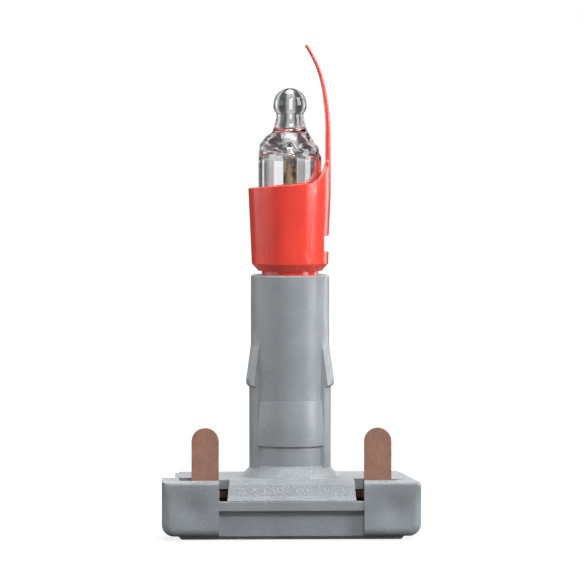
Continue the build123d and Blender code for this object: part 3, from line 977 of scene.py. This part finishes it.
def spun_shell(work, outline, turns, shaped, outward):
    """Turns an outline into a closed skin whose points are then shaped."""
    rings = []
    for radius, height in outline:
        ring = []
        for turn in range(turns):
            angle = 2 * math.pi * turn / turns
            place = shaped(radius * math.cos(angle), radius * math.sin(angle), height)
            ring.append(work.verts.new([MM * value for value in place]))
        rings.append(ring)
    for below, above in zip(rings, rings[1:]):
        for turn in range(turns):
            after = (turn + 1) % turns
            corners = [below[turn], below[after], above[after], above[turn]]
            work.faces.new(corners if outward else corners[::-1])
    crown = outline[-1][1] + 0.1 * outline[-1][0]
    foot = work.verts.new((0, 0, outline[0][1] * MM))
    tip = work.verts.new((0, 0, crown * MM))
    for turn in range(turns):
        after = (turn + 1) % turns
        low = [foot, rings[0][after], rings[0][turn]]
        high = [tip, rings[-1][turn], rings[-1][after]]
        work.faces.new(low if outward else low[::-1])
        work.faces.new(high if outward else high[::-1])


class GLOWLAMP_OT_bulb(bpy.types.Operator):
    """Blow the glass bulb with its drawn tip, slumped shoulder, inner wall and flat pinch"""

    bl_idname = "glowlamp.bulb"
    bl_label = "Glass bulb"

    def execute(self, context):
        settings = context.scene.glowlamp_glass
        outer, inner, bottom, top = glass_outline(settings)
        slump_most = settings.shoulder_slump / MM
        middle = top - SLUMP_DROP

        def rippled(x, y, height):
            """Small folds that drawing leaves in the hot glass round the shoulder."""
            turn = math.atan2(y, x)
            away = (height - (top - FOLD_DROP)) / FOLD_REACH
            folds = math.sin(5 * turn + 3.1 * height) * math.sin(4.3 * height + 1.1)
            folds += 0.6 * math.sin(9 * turn - 5.3 * height + 0.7)
            folds += 0.4 * math.sin(3 * turn + 8.9 * height)
            return settings.ripple / MM * math.exp(-away * away) * folds

        def slumped(x, y, height):
            """Lowers the shoulder on the tongue's side, and flattens the pinch."""
            radius = math.hypot(x, y)
            away = (height - middle) / SLUMP_REACH[height < middle]
            side = 0.5 + 0.5 * x / radius
            slump = slump_most * math.exp(-away * away) * side * eased(radius, 1.5, 2.4)
            roundness = eased(height - bottom, *PINCH_ENDS)
            thin = PINCH_SHARE + (1.0 - PINCH_SHARE) * roundness
            swell = 1.0 + rippled(x, y, height) / max(radius, 0.5)
            return (x * thin * swell, y * swell, height - slump)

        def dome(x, y, height):
            """Lowers the inner dome in the same way but by less, and folds it more."""
            radius = math.hypot(x, y)
            away = (height - middle) / 1.2
            slump = 0.6 * slump_most * math.exp(-away * away) * (0.5 + 0.5 * x / radius)
            return (x, y, height - slump + 1.5 * rippled(x, y, height))

        work = bmesh.new()
        spun_shell(work, smooth_outline(outer, OUTLINE_STEPS), settings.turns, slumped, True)
        spun_shell(work, smooth_outline(inner, OUTLINE_STEPS), settings.turns, dome, False)
        mesh = bpy.data.meshes.new("glass_bulb_blown")
        work.to_mesh(mesh)
        work.free()
        for polygon in mesh.polygons:
            polygon.use_smooth = True
        piece = piece_from(mesh, "glass_bulb_blown", "glass_bulb", clear_glass(settings))
        piece.visible_shadow = False
        return {"FINISHED"}


class GLOWLAMP_OT_contacts(bpy.types.Operator):
    """Finish the copper contacts and the socket spring"""

    bl_idname = "glowlamp.contacts"
    bl_label = "Copper contacts"

    def execute(self, context):
        settings = context.scene.glowlamp_metal
        material = brushed_copper(settings)
        for node in ("contact_left", "contact_right", "socket_spring"):
            piece = rounded_copy(node, node + "_strip", material, settings.strip_edge, 2)
        return {"FINISHED"}


class GLOWLAMP_OT_electrodes(bpy.types.Operator):
    """Finish the two electrodes with rounded ends"""

    bl_idname = "glowlamp.electrodes"
    bl_label = "Electrodes"

    def execute(self, context):
        settings = context.scene.glowlamp_metal
        material = coated_electrode(settings)
        for node in ("electrode_front", "electrode_rear"):
            piece = rounded_copy(node, node + "_rod", material, 1.5 * settings.strip_edge)
        return {"FINISHED"}


class GLOWLAMP_OT_leads(bpy.types.Operator):
    """Finish the leads and the resistor's end caps"""

    bl_idname = "glowlamp.leads"
    bl_label = "Leads and caps"

    def execute(self, context):
        material = tinned_metal(context.scene.glowlamp_metal)
        for node in (
            "lamp_lead_front",
            "lamp_lead_rear",
            "resistor_lead_lower",
            "resistor_lead_upper",
            "resistor_cap_lower",
            "resistor_cap_upper",
        ):
            finish_with(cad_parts[node], material)
        return {"FINISHED"}


def band_tree(radius, bottom, material):
    """Geometry nodes that repeat a thin ring along the rod."""
    tree = bpy.data.node_groups.new("resistor_bands", "GeometryNodeTree")
    for name, kind in (("Count", "Int"), ("Width", "Float"), ("Pitch", "Float")):
        tree.interface.new_socket(name, in_out="INPUT", socket_type="NodeSocket" + kind)
    tree.interface.new_socket("Geometry", in_out="OUTPUT", socket_type="NodeSocketGeometry")
    given = add_node(tree, "NodeGroupInput").outputs
    step = add_node(tree, "ShaderNodeCombineXYZ", {"Z": given["Pitch"]}).outputs["Vector"]
    line = {"Count": given["Count"], "Start Location": (0.0, 0.0, bottom), "Offset": step}
    row = add_node(tree, "GeometryNodeMeshLine", line, mode="OFFSET").outputs["Mesh"]
    round_rod = {"Vertices": 64, "Radius": radius, "Depth": given["Width"]}
    ring = add_node(tree, "GeometryNodeMeshCylinder", round_rod).outputs["Mesh"]
    rings = add_node(tree, "GeometryNodeInstanceOnPoints", {"Points": row, "Instance": ring})
    real = add_node(tree, "GeometryNodeRealizeInstances", {"Geometry": rings.outputs["Instances"]})
    finish = {"Geometry": real.outputs["Geometry"], "Material": material}
    painted = add_node(tree, "GeometryNodeSetMaterial", finish)
    add_node(tree, "NodeGroupOutput", {"Geometry": painted.outputs["Geometry"]})
    return tree


class GLOWLAMP_OT_resistor(bpy.types.Operator):
    """Finish the series resistor and ring its rod with colour bands"""

    bl_idname = "glowlamp.resistor"
    bl_label = "Series resistor"

    def execute(self, context):
        settings = context.scene.glowlamp_resistor
        finish_with(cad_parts["resistor_body"], lacquered_ceramic("tan_lacquer", (0.5, 0.36, 0.2)))
        low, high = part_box("resistor_body")
        cap_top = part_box("resistor_cap_lower")[1][2]
        radius = (high[0] - low[0]) / 2 + 0.03 * MM
        tree = band_tree(radius, cap_top + 0.5 * MM, lacquered_ceramic("band_lacquer", (0.25, 0.06, 0.03)))
        rough = bpy.data.objects.new("bands_rough", bpy.data.meshes.new("bands_rough"))
        context.scene.collection.objects.link(rough)
        modifier = rough.modifiers.new("bands", "NODES")
        modifier.node_group = tree
        values = {"Count": settings.band_count, "Width": settings.band_width, "Pitch": settings.band_pitch}
        for item in tree.interface.items_tree:
            if item.item_type == "SOCKET" and item.in_out == "INPUT":
                modifier[item.identifier] = values[item.name]
        made = made_real(rough, "resistor_bands")
        bands = bpy.data.objects.new("resistor_bands", made)
        context.scene.collection.objects.link(bands)
        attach(bands, "root")
        return {"FINISHED"}


def softbox(name, place, width, height, power):
    """A white area light that points at the unit, and that doesn't show through the glass."""
    lamp = bpy.data.lights.new(name, "AREA")
    lamp.shape = "RECTANGLE"
    lamp.size = width
    lamp.size_y = height
    lamp.energy = power
    thing = bpy.data.objects.new(name, lamp)
    thing.location = place
    thing.rotation_euler = (LIT_POINT - thing.location).to_track_quat("-Z", "Y").to_euler()
    thing.visible_transmission = False
    bpy.context.scene.collection.objects.link(thing)


class GLOWLAMP_OT_stage(bpy.types.Operator):
    """Set the camera, the white floor and the studio lights"""

    bl_idname = "glowlamp.stage"
    bl_label = "Stage"

    def execute(self, context):
        settings = context.scene.glowlamp_stage
        self.add_camera(context, settings)
        self.add_floor(context)
        self.add_world(context, settings)
        self.add_lights(settings)
        context.scene.view_settings.view_transform = "Standard"
        return {"FINISHED"}

    def add_camera(self, context, settings):
        """The camera stands a little left of the front and looks slightly down."""
        lens = bpy.data.cameras.new("camera")
        lens.sensor_width = SENSOR_WIDTH
        lens.lens = SENSOR_WIDTH * settings.pixels_per_mm * settings.distance / MM / IMAGE_SIZE
        lens.clip_start = 0.01
        camera = bpy.data.objects.new("camera", lens)
        context.scene.collection.objects.link(camera)
        turn = settings.azimuth
        shift = (IMAGE_SIZE / 2 - settings.axis_column) / settings.pixels_per_mm * MM
        middle = Vector((math.cos(turn), -math.sin(turn), 0.0)) * shift
        back = Vector((-math.sin(turn), -math.cos(turn), 0.0)) * settings.distance
        aim = middle + Vector((0.0, 0.0, settings.aim_height))
        camera.location = middle + back + Vector((0.0, 0.0, settings.eye_height))
        camera.rotation_euler = (aim - camera.location).to_track_quat("-Z", "Y").to_euler()
        context.scene.camera = camera

    def add_floor(self, context):
        """A floor that is white to the camera, a little less so near the unit, and keeps its soft shadow."""
        bpy.ops.mesh.primitive_plane_add(size=FLOOR_SIZE, location=(0.0, 0.0, -FLOOR_GAP))
        floor = context.active_object
        floor.name = "floor"
        floor.visible_transmission = False
        material, tree = new_material("white_floor")
        matte = tree.add("ShaderNodeBsdfDiffuse", {"Color": (0.16, 0.16, 0.16, 1.0)}).outputs["BSDF"]
        away = tree.add("ShaderNodeVectorMath", {0: tree.place}, operation="LENGTH").outputs["Value"]
        strength = tree.spread(away, *FLOOR_REACH, *FLOOR_GLOW)
        glow = tree.add("ShaderNodeEmission", {"Strength": strength}).outputs["Emission"]
        both = tree.add("ShaderNodeAddShader", {0: matte, 1: glow}).outputs["Shader"]
        seen = tree.add("ShaderNodeLightPath").outputs["Is Camera Ray"]
        chosen = tree.add("ShaderNodeMixShader", {"Fac": seen, 1: matte, 2: both}).outputs["Shader"]
        tree.add("ShaderNodeOutputMaterial", {"Surface": chosen})
        floor.data.materials.append(material)

    def add_world(self, context, settings):
        """A dim room, plain white to the camera, with white panels round it that the glass shows."""
        world = bpy.data.worlds.new("studio")
        world.use_nodes = True
        tree = ShaderTree(world.node_tree, "Generated")

        def graded(value, low, high, to_low, to_high):
            return tree.spread(value, low, high, to_low, to_high, kind="SMOOTHSTEP")

        # The wave rises once for each panel round the room, and the height is 0 level and 1 overhead.
        turn = tree.calculate("ARCTAN2", tree.part(tree.place, "X"), tree.part(tree.place, "Y"))
        wave = tree.calculate("COSINE", tree.calculate("MULTIPLY", turn, settings.panel_count))
        height = tree.calculate("ABSOLUTE", tree.part(tree.place, "Z"))
        panel = tree.calculate(
            "MULTIPLY", graded(wave, 0.75, 0.92, 0.0, 0.95), graded(height, 0.2, 0.25, 1.0, 0.0)
        )
        wall = tree.calculate(
            "MULTIPLY", graded(wave, -0.6, 0.75, 0.08, 0.5), graded(height, 0.1, 0.5, 0.8, 1.3)
        )
        in_gloss = graded(height, 0.12, 0.4, 1.0, settings.room_light)
        through_glass = tree.calculate("MAXIMUM", panel, wall)
        rays = tree.add("ShaderNodeLightPath").outputs

        def where(ray, inside, otherwise):
            inputs = {"Factor": rays[ray], "A": otherwise, "B": inside}
            return tree.add("ShaderNodeMix", inputs).outputs["Result"]

        level = where("Is Glossy Ray", in_gloss, settings.room_light)
        level = where("Is Transmission Ray", through_glass, level)
        level = tree.calculate("MAXIMUM", level, rays["Is Camera Ray"])
        background = tree.add("ShaderNodeBackground", {"Color": WHITE, "Strength": level})
        tree.add("ShaderNodeOutputWorld", {"Surface": background.outputs["Background"]})
        context.scene.world = world

    def add_lights(self, settings):
        """A bright box on the right, a broad dim one on the left, one overhead, one in front, one behind."""
        softbox("right_box", (0.3, -0.13, 0.15), 0.16, 0.3, settings.right_power)
        softbox("left_box", (-0.3, -0.02, 0.05), 0.42, 0.3, settings.left_power)
        softbox("top_box", (0.0, 0.06, 0.32), 0.2, 0.2, settings.top_power)
        softbox("front_box", (0.03, -0.3, 0.24), 0.12, 0.07, settings.front_power)
        softbox("rear_box", (0.2, 0.17, 0.05), 0.07, 0.3, settings.rear_power)


class GLOWLAMP_PT_panel(bpy.types.Panel):
    """Glow lamp tools in the sidebar"""

    bl_idname = "GLOWLAMP_PT_panel"
    bl_label = "Glow Lamp"
    bl_space_type = "VIEW_3D"
    bl_region_type = "UI"
    bl_category = "Glow Lamp"

    def draw(self, context):
        for name, group in SETTINGS.items():
            for setting in group.__annotations__:
                self.layout.prop(getattr(context.scene, name), setting)
        for operator in OPERATORS:
            self.layout.operator(operator.bl_idname)


SETTINGS = {
    "glowlamp_plastic": PlasticSettings,
    "glowlamp_metal": MetalSettings,
    "glowlamp_glass": GlassSettings,
    "glowlamp_resistor": ResistorSettings,
    "glowlamp_stage": StageSettings,
}
OPERATORS = (
    GLOWLAMP_OT_housing,
    GLOWLAMP_OT_holder,
    GLOWLAMP_OT_bulb,
    GLOWLAMP_OT_electrodes,
    GLOWLAMP_OT_contacts,
    GLOWLAMP_OT_leads,
    GLOWLAMP_OT_resistor,
    GLOWLAMP_OT_stage,
)


def register():
    for name, group in SETTINGS.items():
        bpy.utils.register_class(group)
        setattr(bpy.types.Scene, name, bpy.props.PointerProperty(type=group))
    for operator in OPERATORS:
        bpy.utils.register_class(operator)
    bpy.utils.register_class(GLOWLAMP_PT_panel)


def unregister():
    bpy.utils.unregister_class(GLOWLAMP_PT_panel)
    for operator in reversed(OPERATORS):
        bpy.utils.unregister_class(operator)
    for name, group in reversed(list(SETTINGS.items())):
        delattr(bpy.types.Scene, name)
        bpy.utils.unregister_class(group)


def main():
    """Registers the tools and runs them in order."""
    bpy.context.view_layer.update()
    register()
    bpy.ops.glowlamp.housing()
    bpy.ops.glowlamp.holder()
    bpy.ops.glowlamp.bulb()
    bpy.ops.glowlamp.electrodes()
    bpy.ops.glowlamp.contacts()
    bpy.ops.glowlamp.leads()
    bpy.ops.glowlamp.resistor()
    bpy.ops.glowlamp.stage()


if __name__ == "__main__":
    main()
